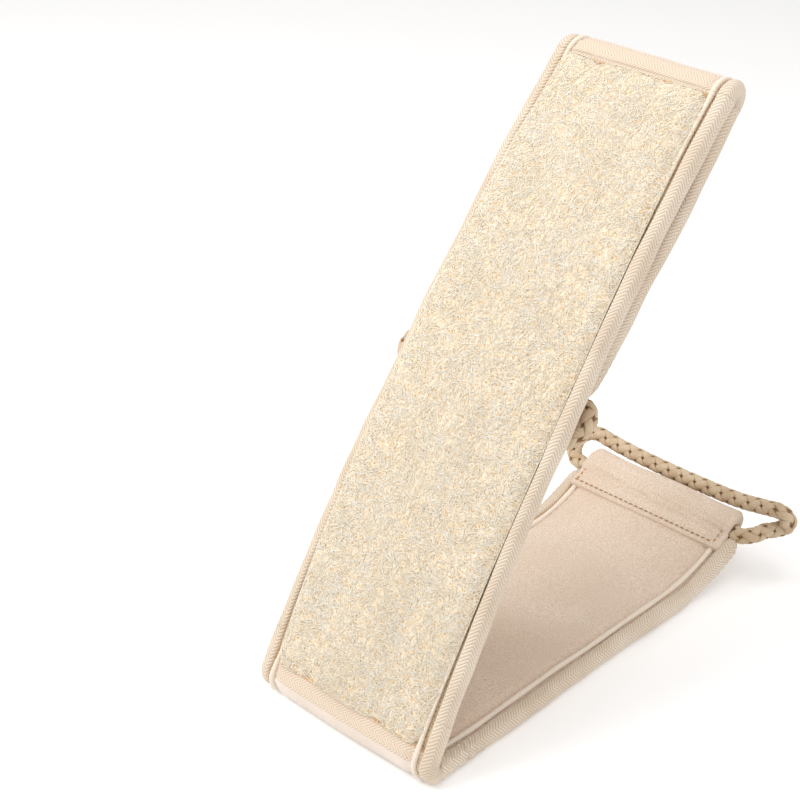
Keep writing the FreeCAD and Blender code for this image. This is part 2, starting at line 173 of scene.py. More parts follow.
def wobble(along, across):
    """The padding's unevenness, which every layer shares."""
    return (0.20 * np.sin(along / 23 + across / 17 + 1.3)
            + 0.15 * np.sin(along / 11 - across / 29 + 0.4)
            + 0.08 * np.sin(along / 6.3 + across / 9.1))


WAIST = 1.3           # how far the loofah section's edges draw in half way up
UPPER_DRAWN_IN = 2.4  # how far the upper section's right edge draws in


def edge_shift(along, across):
    """How far the edges wander and draw in: half way up, and on the upper section's right."""
    side = np.sign(across)
    share = np.clip((along - MIDDLE_START) / MIDDLE_LENGTH, 0, 1)
    waves = 0.45 * np.sin(along / 31 + 2 * side) + 0.3 * np.sin(along / 12.5 + side)
    hidden_edge = (side > 0) * smoothstep(along, MIDDLE_END, UPPER_START)
    drawn_in = WAIST * np.sin(math.pi * share) ** 2 + UPPER_DRAWN_IN * hidden_edge
    return side * smoothstep(np.abs(across), 42, 50) * (waves - drawn_in)


def strap_point(along, across, height, soft=True):
    """The folded strap's place of a point, in millimetres in the frame's axes."""
    along, across, height = np.broadcast_arrays(
        *(np.asarray(values, float) for values in (along, across, height)))
    if soft:
        height = height + wobble(along, across)
        across = across + edge_shift(along, across)
    across = across - UPPER_SHIFT * smoothstep(along, MIDDLE_END, UPPER_START)
    place = np.zeros(along.shape + (3,))
    lower = along < 0
    away, up = end_section(-along[lower], height[lower], LOWER_FLAT, LOWER_CURL_RADIUS, LOWER_CURL)
    place[lower] = (FOLD_FOOT + X_AXIS * column(across[lower]) + (0, 1, 0) * column(away)
                    + Z_AXIS * column(np.maximum(up, 0.02)))
    bend = (along >= 0) & (along < MIDDLE_START)
    turn = column(along[bend] / THICKNESS)
    radius = column(np.maximum(height[bend], 0.05))
    around = -Z_AXIS * np.cos(turn) - np.array((0, 1, 0)) * np.sin(turn)
    place[bend] = LOWER_PIVOT + X_AXIS * column(across[bend]) + around * radius
    middle = (along >= MIDDLE_START) & (along <= MIDDLE_END)
    line, side, outward = middle_frame(along[middle] - MIDDLE_START)
    place[middle] = line + side * column(across[middle]) + outward * column(height[middle])
    bend = (along > MIDDLE_END) & (along < UPPER_START)
    turn = column((along[bend] - MIDDLE_END) / (THICKNESS + UPPER_GAP))
    radius = column(np.maximum(height[bend] + UPPER_GAP, 0.05))
    around = END_OUTWARD * np.cos(turn) + END_UP * np.sin(turn)
    place[bend] = UPPER_PIVOT + END_ACROSS * column(across[bend]) + around * radius
    upper = along >= UPPER_START
    away, up = end_section(
        along[upper] - UPPER_START, height[upper], UPPER_FLAT, UPPER_CURL_RADIUS, UPPER_CURL)
    place[upper] = (UPPER_ORIGIN + END_ACROSS * column(across[upper])
                    + UPPER_ALONG * column(away) + UPPER_INWARD * column(up))
    place[..., 2] = np.maximum(place[..., 2], 0.02)
    return place


def hem_point(section, x, y, z):
    """A place given in a hem's frame: across it, towards its edge, up from its outer face."""
    height = THICKNESS - np.asarray(z, float)
    y = np.asarray(y, float)
    if section == "lower":
        return strap_point(LOWER_END - y, x, height, soft=False)
    return strap_point(UPPER_END + y, -np.asarray(x, float), height, soft=False)


# ---------------------------------------------------------------- making meshes
def new_object(name, data):
    made = bpy.data.objects.new(name, data)
    bpy.context.scene.collection.objects.link(made)
    return made


def faces_between(first, around, columns):
    """The four corners of each face between a row that starts at first and the next row."""
    following = (around + 1) % columns
    corners = np.broadcast_arrays(first + around, first + following,
                                  first + columns + following, first + columns + around)
    return np.stack(corners, -1).reshape(-1, 4)


class Shape:
    """Vertices, faces and their UVs, gathered before a mesh is made of them."""

    def __init__(self):
        self.points = []
        self.quads = []
        self.quad_uvs = []
        self.caps = []
        self.count = 0

    def add_grid(self, points, u, v, caps=True):
        """A tube of rows along and columns around, with UVs in millimetres.

        u has a value for each row, and v has one more value than there are columns.
        """
        rows, columns = points.shape[:2]
        self.points.append(points.reshape(-1, 3))
        row = np.arange(rows - 1)[:, None]
        around = np.arange(columns)[None, :]
        self.quads.append(faces_between(self.count + row * columns, around, columns))
        uv = np.stack(np.meshgrid(u, v, indexing="ij"), -1)
        corners = np.stack((uv[:-1, :-1], uv[:-1, 1:], uv[1:, 1:], uv[1:, :-1]), -2)
        self.quad_uvs.append(corners.reshape(-1, 4, 2))
        if caps:
            last = self.count + (rows - 1) * columns
            self.caps.append(list(range(self.count, self.count + columns))[::-1])
            self.caps.append(list(range(last, last + columns)))
        self.count += rows * columns

    def add_tubes(self, points, u, v):
        """Many equal closed tubes at once: points is tubes by rows by columns by 3."""
        tubes, rows, columns = points.shape[:3]
        self.points.append(points.reshape(-1, 3))
        start = self.count + np.arange(tubes)[:, None, None] * rows * columns
        row = np.arange(rows - 1)[None, :, None] * columns
        around = np.arange(columns)[None, None, :]
        self.quads.append(faces_between(start + row, around, columns))
        uv = np.empty((tubes, rows - 1, columns, 4, 2))
        uv[..., 0] = u[:, None, None, None]
        uv[..., 1] = v[None, :-1, None, None]
        self.quad_uvs.append(uv.reshape(-1, 4, 2))
        self.count += tubes * rows * columns

    def build(self, name, material):
        points = np.concatenate(self.points) * MM
        quads = np.concatenate(self.quads)
        mesh = bpy.data.meshes.new(name)
        cap_corners = [index for cap in self.caps for index in cap]
        corners = np.concatenate((quads.ravel(), np.array(cap_corners, int)))
        totals = np.array([4] * len(quads) + [len(cap) for cap in self.caps], np.int32)
        starts = (np.cumsum(totals) - totals).astype(np.int32)
        mesh.vertices.add(len(points))
        mesh.vertices.foreach_set("co", points.astype(np.float32).ravel())
        mesh.loops.add(len(corners))
        mesh.loops.foreach_set("vertex_index", corners.astype(np.int32))
        mesh.polygons.add(len(starts))
        mesh.polygons.foreach_set("loop_start", starts)
        mesh.polygons.foreach_set("loop_total", totals)
        mesh.polygons.foreach_set("use_smooth", np.ones(len(starts), bool))
        mesh.update(calc_edges=True)
        layer = mesh.uv_layers.new(name="cloth")
        uvs = np.zeros((len(corners), 2), np.float32)
        uvs[:quads.size] = np.concatenate(self.quad_uvs).reshape(-1, 2)
        layer.data.foreach_set("uv", uvs.ravel())
        mesh.validate()
        piece = new_object(name, mesh)
        mesh.materials.append(material)
        return piece


def around_lengths(across, height):
    """Cumulative length round a closed outline, starting and ending at its first point."""
    steps = np.hypot(np.diff(across, append=across[0]), np.diff(height, append=height[0]))
    return np.concatenate(((0.0,), np.cumsum(steps)))


def rows_between(start, end, step):
    return np.linspace(start, end, max(2, int(round(abs(end - start) / step)) + 1))


# ---------------------------------------------------------------- materials
def linear(red, green, blue):
    """An 8-bit screen colour as linear light."""
    def channel(value):
        value /= 255
        return value / 12.92 if value <= 0.04045 else ((value + 0.055) / 1.055) ** 2.4
    return (channel(red), channel(green), channel(blue), 1.0)


class Surface:
    """A material under construction, with short calls for its nodes."""

    def __init__(self, name, roughness, sheen=0.0):
        self.material = bpy.data.materials.new(name)
        self.material.use_nodes = True
        self.tree = self.material.node_tree
        self.shader = self.tree.nodes["Principled BSDF"]
        self.shader.inputs["Roughness"].default_value = roughness
        self.shader.inputs["Specular IOR Level"].default_value = 0.25
        self.shader.inputs["Sheen Weight"].default_value = sheen
        self.shader.inputs["Sheen Roughness"].default_value = 0.6
        self.coordinates = self.tree.nodes.new("ShaderNodeTexCoord")
        self.normal = None

    def put(self, socket, value):
        if isinstance(value, bpy.types.NodeSocket):
            self.tree.links.new(value, socket)
        else:
            socket.default_value = value

    def node(self, kind, values):
        """A new node, with the named inputs set or linked."""
        made = self.tree.nodes.new("ShaderNode" + kind)
        for name, value in values.items():
            self.put(made.inputs[name], value)
        return made

    def math(self, operation, first, second=0.0, third=0.0):
        node = self.tree.nodes.new("ShaderNodeMath")
        node.operation = operation
        for socket, value in zip(node.inputs, (first, second, third)):
            self.put(socket, value)
        return node.outputs[0]

    def uv(self):
        split = self.node("SeparateXYZ", {"Vector": self.coordinates.outputs["UV"]})
        return split.outputs[0], split.outputs[1]

    def noise(self, per_metre, detail=2.0, stretch=None, roughness=0.5):
        vector = self.coordinates.outputs["Object"]
        if stretch:
            vector = self.node("Mapping", {"Vector": vector, "Scale": stretch}).outputs[0]
        node = self.node("TexNoise", {"Vector": vector, "Scale": per_metre,
                                      "Detail": detail, "Roughness": roughness})
        return node.outputs[0]

    def cells(self, per_metre):
        vector = self.coordinates.outputs["Object"]
        node = self.node("TexVoronoi", {"Vector": vector, "Scale": per_metre})
        return node.outputs["Distance"]

    def ramp(self, value, low, high):
        """The value stretched so that low becomes 0 and high becomes 1."""
        node = self.node("MapRange", {"Value": value, "From Min": low, "From Max": high})
        node.interpolation_type = "SMOOTHSTEP"
        return node.outputs[0]

    def mix(self, share, first, second):
        node = self.tree.nodes.new("ShaderNodeMix")
        node.data_type = "RGBA"
        self.put(node.inputs["Factor"], share)
        self.put(node.inputs["A"], first)
        self.put(node.inputs["B"], second)
        return node.outputs["Result"]

    def tint(self, colour, other, pattern, amount):
        """The colour, going towards the other by up to the amount where the pattern is 1."""
        return self.mix(self.math("MULTIPLY", pattern, amount), colour, other)

    def blotches(self, per_metre, low=0.3):
        return self.ramp(self.noise(per_metre, 3), low, 0.7)

    def bump(self, height, strength, depth):
        values = {"Height": height, "Strength": strength, "Distance": depth * MM}
        if self.normal:
            values["Normal"] = self.normal
        self.normal = self.node("Bump", values).outputs[0]

    def finish(self, colour):
        self.put(self.shader.inputs["Base Color"], colour)
        if self.normal:
            self.put(self.shader.inputs["Normal"], self.normal)
        return self.material


def wave(surface, value, pitch):
    """A ripple from 0 to 1 along a value in millimetres."""
    angle = surface.math("MULTIPLY", value, 2 * math.pi / pitch)
    return surface.math("MULTIPLY_ADD", surface.math("SINE", angle), 0.5, 0.5)


def make_terry():
    """Short brushed pile, with a faint diagonal ground weave showing through."""
    surface = Surface("terry_cloth", 0.92, sheen=0.25)
    blotches = surface.blotches(28, 0.35)
    pile = surface.noise(1500, 3, roughness=0.7)
    loops = surface.cells(1150)
    along, around = surface.uv()
    diagonal = wave(surface, surface.math("ADD", along, around), 1.7)
    colour = surface.mix(blotches, linear(229, 213, 196), linear(221, 203, 184))
    colour = surface.mix(surface.ramp(pile, 0.35, 0.62), linear(199, 177, 155), colour)
    colour = surface.tint(colour, linear(205, 180, 162), diagonal, 0.12)
    surface.bump(diagonal, 0.25, 0.12)
    surface.bump(pile, 0.55, 0.35)
    surface.bump(loops, 0.35, 0.3)
    return surface.finish(colour)


def make_cotton(name, banded):
    """Plain woven cotton, smooth and pale. The folds have a ribbed band beside the loofah, and
    painted ochre shade along the seam where the loofah's ends tuck under.
    """
    surface = Surface(name, 0.85, sheen=0.12)
    along, around = surface.uv()
    weave = surface.math("MULTIPLY", wave(surface, along, 0.75), wave(surface, around, 0.75))
    blotches = surface.blotches(35)
    fuzz = surface.noise(900, 2)
    colour = surface.mix(blotches, linear(226, 214, 204), linear(216, 203, 191))
    colour = surface.tint(colour, linear(205, 184, 165), weave, 0.22)
    if banded:
        above = surface.ramp(along, PANEL_START - BAND_WIDTH, PANEL_START - BAND_WIDTH + 0.5)
        below = surface.ramp(along, PANEL_END + BAND_WIDTH + 3.5, PANEL_END + BAND_WIDTH + 3)
        band = surface.math("MULTIPLY", above, below)
        ribs = herringbone(surface, around, along)
        ribbed = surface.tint(linear(228, 211, 192), linear(170, 142, 114), ribs, 0.45)
        colour = surface.mix(band, colour, ribbed)
        # painted shade: an ochre line along the seam at the loofah's ends, in the gap where the
        # loofah tucks under
        at_bottom = surface.ramp(along, PANEL_START - 1.6, PANEL_START - 0.4)
        at_top = surface.ramp(along, PANEL_END + 1.6, PANEL_END + 0.4)
        seam = surface.math("MULTIPLY", at_bottom, at_top)
        colour = surface.tint(colour, linear(190, 146, 96), seam, 0.8)
        surface.bump(surface.math("MULTIPLY", ribs, band), 0.6, 0.3)
    surface.bump(weave, 0.35, 0.12)
    surface.bump(fuzz, 0.3, 0.12)
    return surface.finish(colour)


TAPE_ROUND = 17.0     # the tape's visible width, round its edge


def herringbone(surface, along, around):
    """The ribs of herringbone twill, in columns that slant to and fro."""
    uneven = surface.noise(120, 2)
    zigzag = surface.math("PINGPONG", around, 2.8)
    slant = surface.math("MULTIPLY_ADD", zigzag, 1.2, along)
    return wave(surface, surface.math("ADD", slant, uneven), 1.7)


def make_twill():
    """Herringbone twill tape, with ochre painted shade where it tucks into the seams."""
    surface = Surface("twill_tape", 0.88, sheen=0.15)
    along, around = surface.uv()
    from_middle = surface.math("ABSOLUTE", surface.math("SUBTRACT", around, TAPE_ROUND / 2))
    ribs = herringbone(surface, along, around)
    blotches = surface.blotches(45)
    colour = surface.mix(blotches, linear(230, 217, 200), linear(218, 202, 182))
    colour = surface.tint(colour, linear(168, 142, 112), ribs, 0.55)
    # painted shade: the tape's tucked edge, down in the groove beside the piping, is tinted ochre
    tucked = surface.ramp(from_middle, TAPE_ROUND / 2 - 2.2, TAPE_ROUND / 2 - 0.5)
    colour = surface.tint(colour, linear(214, 172, 122), tucked, 0.8)
    surface.bump(ribs, 0.6, 0.3)
    surface.bump(surface.noise(1100, 2), 0.25, 0.12)
    return surface.finish(colour)


def make_piping():
    """The pale corded edge beside the seam, with fine slanting threads."""
    surface = Surface("corded_piping", 0.82, sheen=0.15)
    along, around = surface.uv()
    threads = wave(surface, surface.math("MULTIPLY_ADD", around, 0.9, along), 1.0)
    colour = surface.tint(linear(236, 225, 210), linear(196, 172, 145), threads, 0.4)
    surface.bump(threads, 0.4, 0.14)
    surface.bump(surface.noise(1200, 2), 0.25, 0.1)
    return surface.finish(colour)


def make_loofah_core():
    """What shows between the top fibres: paler mats of fibre, and small ochre pores; the tan in the
    mats' dips and the ochre pores are painted shade under the fibres.
    """
    surface = Surface("loofah_core", 0.9)
    pores = surface.cells(780)
    mats = surface.noise(800, 3, stretch=(1.0, 1.6, 1.6), roughness=0.65)
    # painted shade: tan in the mats' dips and ochre in the pores, where the bumps sink
    colour = surface.mix(surface.ramp(mats, 0.36, 0.6), linear(216, 188, 142), linear(235, 224, 206))
    colour = surface.mix(surface.ramp(pores, 0.12, 0.42), linear(190, 150, 98), colour)
    surface.bump(pores, 0.7, 0.5)
    surface.bump(mats, 0.6, 0.5)
    return surface.finish(colour)


def make_loofah_fibre():
    """Dry pale fibre, a little yellower in places."""
    surface = Surface("loofah_fibre", 0.72)
    patches = surface.blotches(55, 0.35)
    fibres = surface.ramp(surface.noise(1300, 2), 0.4, 0.68)
    colour = surface.mix(patches, linear(249, 244, 234), linear(245, 239, 225))
    colour = surface.tint(colour, linear(238, 226, 202), fibres, 0.7)
    return surface.finish(colour)


STRAND_ROUND = 8.0    # once round a strand of the rope, as the UVs count it


def make_rope():
    """Unbleached cotton yarns, with painted shade between the plaits."""
    surface = Surface("braided_rope", 0.88, sheen=0.1)
    along, around = surface.uv()
    yarns = wave(surface, surface.math("MULTIPLY_ADD", along, 0.8, around), 0.8)
    blotches = surface.blotches(150)
    colour = surface.mix(blotches, linear(214, 195, 168), linear(196, 173, 143))
    colour = surface.tint(colour, linear(160, 130, 96), yarns, 0.35)
    # painted shade: each strand is darkened at its sides, where it meets the next plait
    turn = surface.math("MULTIPLY", around, 2 * math.pi / STRAND_ROUND)
    painted_plait_shade = surface.ramp(surface.math("ABSOLUTE", surface.math("SINE", turn)), 0.6, 0.1)
    colour = surface.mix(painted_plait_shade, colour, linear(146, 112, 76))
    surface.bump(yarns, 0.5, 0.2)
    surface.bump(surface.noise(1300, 3), 0.35, 0.15)
    return surface.finish(colour)


def make_thread():
    surface = Surface("seam_thread", 0.6)
    along, around = surface.uv()
    twist = wave(surface, surface.math("ADD", along, around), 0.35)
    colour = surface.mix(twist, linear(196, 152, 96), linear(150, 106, 58))
    surface.bump(twist, 0.4, 0.1)
    return surface.finish(colour)


def make_foam():
    surface = Surface("foam", 0.95)
    pores = surface.cells(900)
    colour = surface.mix(surface.ramp(pores, 0.2, 0.6), linear(206, 180, 140), linear(238, 226, 200))
    surface.bump(pores, 0.7, 0.4)
    return surface.finish(colour)


MATERIALS = {
    "terry": make_terry(),
    "smooth_cotton": make_cotton("smooth_cotton", False),
    "banded_cotton": make_cotton("banded_cotton", True),
    "twill_tape": make_twill(),
    "piping": make_piping(),
    "loofah_core": make_loofah_core(),
    "loofah": make_loofah_fibre(),
    "rope": make_rope(),
    "thread": make_thread(),
    "foam": make_foam(),
}


# ---------------------------------------------------------------- outlines of the strap's layers
PAD_COLUMNS = 92
SEAM_HALF = 43.6      # where the cloth ends, under the tapes
TERRY_BACK = 2.6      # the layers' hidden backs, as heights from the terry side
COTTON_BACK = 6.4
LOOFAH_BACK = 6.5


def pucker(along, across):
    """Small gathers where the seams hold the cloth, fading into the field."""
    near = smoothstep(np.abs(across), 31, FIELD_HALF)
    return near * (0.16 * np.sin(along * 1.38 + np.sign(across)) + 0.1 * np.sin(along * 0.83))


def pad_height(along, across):
    """The padded field's depth below the seam line: full in the middle, tucked in at the sides."""
    distance = np.abs(across)
    return (-0.25 + 1.4 * smoothstep(distance, 35.5, FIELD_HALF + 0.4)
            + 0.6 * smoothstep(distance, FIELD_HALF, 42.6) + pucker(along, across))


def slab(along, surface_height, back_height, half=SEAM_HALF):
    """A closed outline for each row: the shaped face across, and a flat back."""
    face = np.linspace(-half, half, PAD_COLUMNS)
    back = np.linspace(half, -half, 12)
    across = np.concatenate((face, back))
    heights = np.empty((len(along), len(across)))
    heights[:, :PAD_COLUMNS] = surface_height(along[:, None], face[None, :])
    heights[:, PAD_COLUMNS:] = back_height
    return np.broadcast_to(across, heights.shape), heights


def add_slab(shape, start, end, surface_height, back_height):
    along = rows_between(start, end, 1.3)
    across, heights = slab(along, surface_height, back_height)
    points = strap_point(along[:, None], across, heights)
    shape.add_grid(points, along, around_lengths(across[0], 0 * across[0]))


def cotton_surface(along, across):
    return THICKNESS - pad_height(along, across)


def pleats(along, depth):
    """Folds in the tape where the strap bends and where it meets the hems."""
    at_fold = np.exp(-((along + 14) / 17) ** 2)
    at_hem = smoothstep(-along, 188, 212) + smoothstep(along, UPPER_END - 24, UPPER_END)
    fan = np.sin((along + depth * 0.9) * 0.95) + 0.6 * np.sin((along - depth * 0.5) * 1.7 + 1)
    slanted = np.sin((along + 1.1 * depth) * 1.72)
    return 0.34 * at_fold * fan + 0.34 * at_hem * slanted


TAPE_COLUMNS = 38
TAPE_CENTRE = 45.9    # across, from the strap's middle
TAPE_OUTER = 4.1      # from its centre to the strap's edge
TAPE_INNER = 2.7      # from its centre to the piping
TAPE_RISE = 4.35      # half its height


def add_tape(shape, start, end, side, step=0.9, taper=None):
    """The edge tape: rounded over the strap's edge and tucked in beside the piping."""
    along = rows_between(start, end, step)[:, None]
    turn = np.radians(np.linspace(-166, 166, TAPE_COLUMNS))[None, :]
    cosine = np.cos(turn)
    reach = np.where(cosine > 0, TAPE_OUTER, TAPE_INNER)
    plain_width = reach * np.sign(cosine) * np.abs(cosine) ** 0.85
    plain_rise = TAPE_RISE * np.sign(np.sin(turn)) * np.abs(np.sin(turn)) ** 0.75
    fold = pleats(along, np.degrees(turn) / 12)
    swell = 1 + 0.05 * np.sin(along / 9 + side) + 0.035 * np.sin(along / 4.1)
    width = plain_width * swell + fold * np.abs(cosine)
    rise = plain_rise * (1 + 0.035 * np.sin(along / 6.5 + 2 * side)) + fold * np.sin(turn)
    if taper is not None:
        shrink = taper(along)
        width = width * shrink
        rise = rise * shrink
    points = strap_point(along, side * (TAPE_CENTRE + width), THICKNESS / 2 + rise)
    if side > 0:
        points = points[:, ::-1]
    lengths = around_lengths(TAPE_CENTRE + plain_width[0], plain_rise[0])
    scale = TAPE_ROUND / lengths[-2]
    shape.add_grid(points, along[:, 0], lengths * scale)


def add_bead(shape, start, end, side, height, step=0.45):
    """A piping bead: a thin ribbed cord that wanders a little, and is thinner beside the loofah."""
    along = rows_between(start, end, step)[:, None]
    turn = np.linspace(0, 2 * math.pi, 10, endpoint=False)[None, :]
    ribs = 0.1 * np.sin(2 * turn * side + along * 2 * math.pi / 1.9)
    beside_loofah = (height > THICKNESS / 2) * smoothstep(along, MIDDLE_START, PANEL_START + 6)
    beside_loofah = beside_loofah * (1 - smoothstep(along, PANEL_END - 6, MIDDLE_END))
    bare_radius = BEAD_RADIUS * (1 - 0.3 * beside_loofah)
    radius = bare_radius * (1 + 0.07 * np.sin(along / 5 + side)) + ribs
    wander = 0.22 * np.sin(along / 17 + 3 * side) + 0.12 * np.sin(along / 6.7)
    across = side * (BEAD_CENTRE + wander + radius * np.cos(turn))
    points = strap_point(along, across, height + radius * np.sin(turn) * side)
    shape.add_grid(points, along[:, 0], np.linspace(0, 2 * math.pi * BEAD_RADIUS, 11))


BEAD_INNER = 0.95
BEAD_OUTER = THICKNESS - BEAD_INNER
SIDES = ((-1, "left"), (1, "right"))


def lower_blend(piece):
    """The lower fold's cloth keeps its place, with its transform applied to its mesh."""
    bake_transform(piece)


def upper_blend(piece):
    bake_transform(piece)


def rider(body):
    return lambda piece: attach(piece, body)


def hem_taper(end):
    """The tape thins out beside the hem, where it is folded in."""
    return lambda along: 1 - 0.75 * smoothstep(np.abs(along - end), 3, 15) * (
        np.sign(along - end) == np.sign(end))


TAPE_TAIL = 15.0
STRETCHES = {
    # name: first and last place along, how it moves
    "lower": (LOWER_END, -FOLD_REACH, rider("lower_section")),
    "lower_fold": (-FOLD_REACH, MIDDLE_START + FOLD_REACH, lower_blend),
    "middle": (MIDDLE_START + FOLD_REACH, MIDDLE_END, rider("loofah_section")),
    "upper_fold": (MIDDLE_END, UPPER_START, upper_blend),
    "upper": (UPPER_START, UPPER_END, rider("upper_section")),
}


def make_tapes(stretch):
    start, end, move = STRETCHES[stretch]
    taper = None
    if stretch == "lower":
        start -= TAPE_TAIL
        taper = hem_taper(LOWER_END)
    if stretch == "upper":
        end += TAPE_TAIL
        taper = hem_taper(UPPER_END)
    for side, word in SIDES:
        shape = Shape()
        add_tape(shape, start, end, side, taper=taper)
        piece = shape.build("%s_edge_tape_%s_twill" % (stretch, word),
                            MATERIALS["twill_tape"])
        move(piece)
        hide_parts("%s_edge_tape_%s" % (stretch, word))


# Each stretch's outer and inner beads: the title of the piece, and the node it replaces, if any.
END_BEADS = (("{}_outer_piping_{}", "{0}_outer_piping_{1}"),
             ("{}_inner_piping_{}", "{0}_inner_piping_{1}"))
MIDDLE_BEADS = (("{}_front_piping_{}", "front_piping_{1}"),
                ("{}_back_piping_{}", "back_piping_{1}"))
FOLD_BEADS = (("{}_fold_piping_{}", "{0}_piping_{1}"),
              ("{}_inner_fold_piping_{}", None))


def make_beads(stretch):
    start, end, move = STRETCHES[stretch]
    beads = {"lower": END_BEADS, "middle": MIDDLE_BEADS, "upper": END_BEADS}.get(stretch, FOLD_BEADS)
    for side, word in SIDES:
        for (title, node), height in zip(beads, (BEAD_OUTER, BEAD_INNER)):
            shape = Shape()
            add_bead(shape, start, end, side, height)
            name = title.format(stretch, word) + "_cord"
            piece = shape.build(name, MATERIALS["piping"])
            move(piece)
            if node:
                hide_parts(node.format(stretch, word))


def make_cloth(stretch, name, place, side, finish, nodes):
    """One layer of cloth along a stretch. side is the layer's face and its hidden back."""
    shape = Shape()
    add_slab(shape, *place, *side)
    material, slot = finish
    piece = shape.build(name, MATERIALS[material])
    STRETCHES[stretch][2](piece)
    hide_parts(*nodes)


def make_terry_faces():
    nodes = {
        "lower": "lower_terry_face", "lower_fold": "lower_fold_terry",
        "middle": "middle_terry_back", "upper_fold": "upper_fold_terry",
        "upper": "upper_terry_face",
    }
    for stretch, node in nodes.items():
        make_cloth(stretch, stretch + "_terry_cloth", STRETCHES[stretch][:2],
                   (pad_height, TERRY_BACK), ("terry", "terry"), [node])


def make_outer_cloths():
    smooth = ("smooth_cotton", "smooth_cotton")
    banded = ("banded_cotton", "smooth_cotton")
    cloths = {
        "lower": (LOWER_END, -FOLD_REACH, smooth, ["lower_outer_cloth"]),
        "lower_fold": (-FOLD_REACH, PANEL_START + 1, banded,
                       ["lower_fold_outer_cloth", "lower_fold_foam", "bottom_seam_band"]),
        "middle": (PANEL_END - 1, MIDDLE_END, ("banded_cotton", "twill_tape"), ["top_seam_band"]),
        "upper_fold": (MIDDLE_END, UPPER_START, banded,
                       ["upper_fold_outer_cloth", "upper_fold_foam"]),
        "upper": (UPPER_START, UPPER_END, smooth, ["upper_outer_cloth"]),
    }
    for stretch, (start, end, finish, nodes) in cloths.items():
        make_cloth(stretch, stretch + "_outer_cotton", (start, end),
                   (cotton_surface, COTTON_BACK), finish, nodes)


# ---------------------------------------------------------------- loofah
PANEL_HALF = 41.6


def loofah_height(along, across):
    """The loofah panel's face: crowned, with soft lengthwise ridges, and tucked in all round."""
    distance = np.abs(across)
    crown = 12.5 - 0.9 * (distance / PANEL_HALF) ** 2
    bend = along / 38
    ridges = (0.75 * np.sin(across / 6.2 + 0.6 * np.sin(bend) + 1.2)
              + 0.3 * np.sin(across / 3.1 - 0.9 * np.sin(bend * 0.7 + 2)))
    lumps = (0.22 * np.sin(along / 9.9 + across / 7.3) + 0.14 * np.sin(along / 5.7 - across / 8.8))
    sides = smoothstep(distance, np.where(across < 0, 37.5, 34.5), PANEL_HALF)
    from_end = np.minimum(along - PANEL_START, PANEL_END - along)
    ends = 1 - smoothstep(from_end, -0.5, 6.5)
    return (crown + (ridges + lumps) * (1 - sides) - 3.1 * sides ** 1.5 - 2.3 * ends
            - 0.6 * ends * sides)


def overhang(along, across):
    """The loofah's place across, where it bulges over the piping half way up."""
    share = np.clip((along - PANEL_START) / (PANEL_END - PANEL_START), 0, 1)
    amount = np.where(across > 0, 2.6, 3.8) * np.sin(math.pi * share)
    return across + np.sign(across) * amount * smoothstep(np.abs(across), 24, PANEL_HALF)


def make_loofah_pad():
    shape = Shape()
    along = rows_between(PANEL_START - 0.5, PANEL_END + 0.5, 1.0)
    across, heights = slab(along, loofah_height, LOOFAH_BACK, PANEL_HALF)
    bulged = overhang(along[:, None], across)
    bulged[:, PAD_COLUMNS:] = across[:, PAD_COLUMNS:]
    shape.add_grid(strap_point(along[:, None], bulged, heights), along,
                   around_lengths(across[0], 0 * across[0]))
    piece = shape.build("loofah_pad", MATERIALS["loofah_core"])
    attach(piece, "loofah_section")
    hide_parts("loofah_panel")


FIBRE_POINTS = 8
FIBRE_STEP = 1.3


def fibre_paths(count, lift_low, lift_high):
    """Curling fibres over the panel, most of them lying across it. Gives (along, across, lift)."""
    along = rng.uniform(PANEL_START - 1, PANEL_END + 1, count)
    across = rng.uniform(-PANEL_HALF - 2, PANEL_HALF + 2, count)
    heading = rng.normal(0, 0.5, count) + np.where(rng.random(count) < 0.24, math.pi / 2, 0)
    heading += 0.35 * np.sin(along / 27 + across / 19)
    heading += np.where(rng.random(count) < 0.5, math.pi, 0)
    curl = rng.normal(0, 0.2, count)
    phase = rng.uniform(0, 2 * math.pi, count)
    weave = rng.uniform(0.7, 1.5, count)
    lift = rng.uniform(lift_low, lift_high, count)
    rows = []
    for step in range(FIBRE_POINTS):
        rise = lift + 0.24 * np.sin(phase + weave * step)
        rows.append(np.stack((along, across, rise), -1))
        along = along + FIBRE_STEP * np.sin(heading)
        across = across + FIBRE_STEP * np.cos(heading)
        heading = heading + curl + rng.normal(0, 0.22, count)
        curl = curl * 0.85 + rng.normal(0, 0.07, count)
    paths = np.stack(rows, 1)
    paths[..., 0] = np.clip(paths[..., 0], PANEL_START - 0.6, PANEL_END + 0.6)
    paths[..., 1] = np.clip(paths[..., 1], -PANEL_HALF, PANEL_HALF)
    return paths


def make_fibres(name, count, radius, lift_low, lift_high):
    paths = fibre_paths(count, lift_low, lift_high)
    along, across = paths[..., 0], paths[..., 1]
    height = loofah_height(along, across) + paths[..., 2]
    step_along = np.gradient(along, axis=1)
    step_across = np.gradient(across, axis=1)
    length = np.maximum(np.hypot(step_along, step_across), 1e-6)
    thickness = rng.uniform(0.85, 1.2, count)[:, None] * radius
    ends = np.sin(np.linspace(0.12, math.pi - 0.12, FIBRE_POINTS)) ** 0.35
    thickness = (thickness * ends)[..., None]
    turn = np.radians((90, 210, 330))
    sideways = thickness * np.cos(turn)
    ring_along = along[..., None] - (step_across / length)[..., None] * sideways
    ring_across = across[..., None] + (step_along / length)[..., None] * sideways
    ring_height = height[..., None] + thickness * np.sin(turn)
    shape = Shape()
    shape.add_tubes(strap_point(ring_along, overhang(ring_along, ring_across), ring_height),
                    rng.uniform(0, 100, count), np.arange(FIBRE_POINTS) * FIBRE_STEP)
    piece = shape.build(name, MATERIALS["loofah"])
    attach(piece, "loofah_section")
    return piece


def make_loofah():
    """The pad, three layers of its net, and the loose fibres on top."""
    make_loofah_pad()
    for index in range(3):
        make_fibres("loofah_net_%d" % (index + 1), 3900, 0.155, -0.02, 0.3)
    make_fibres("loofah_top_fibres", 1700, 0.14, 0.2, 0.5)


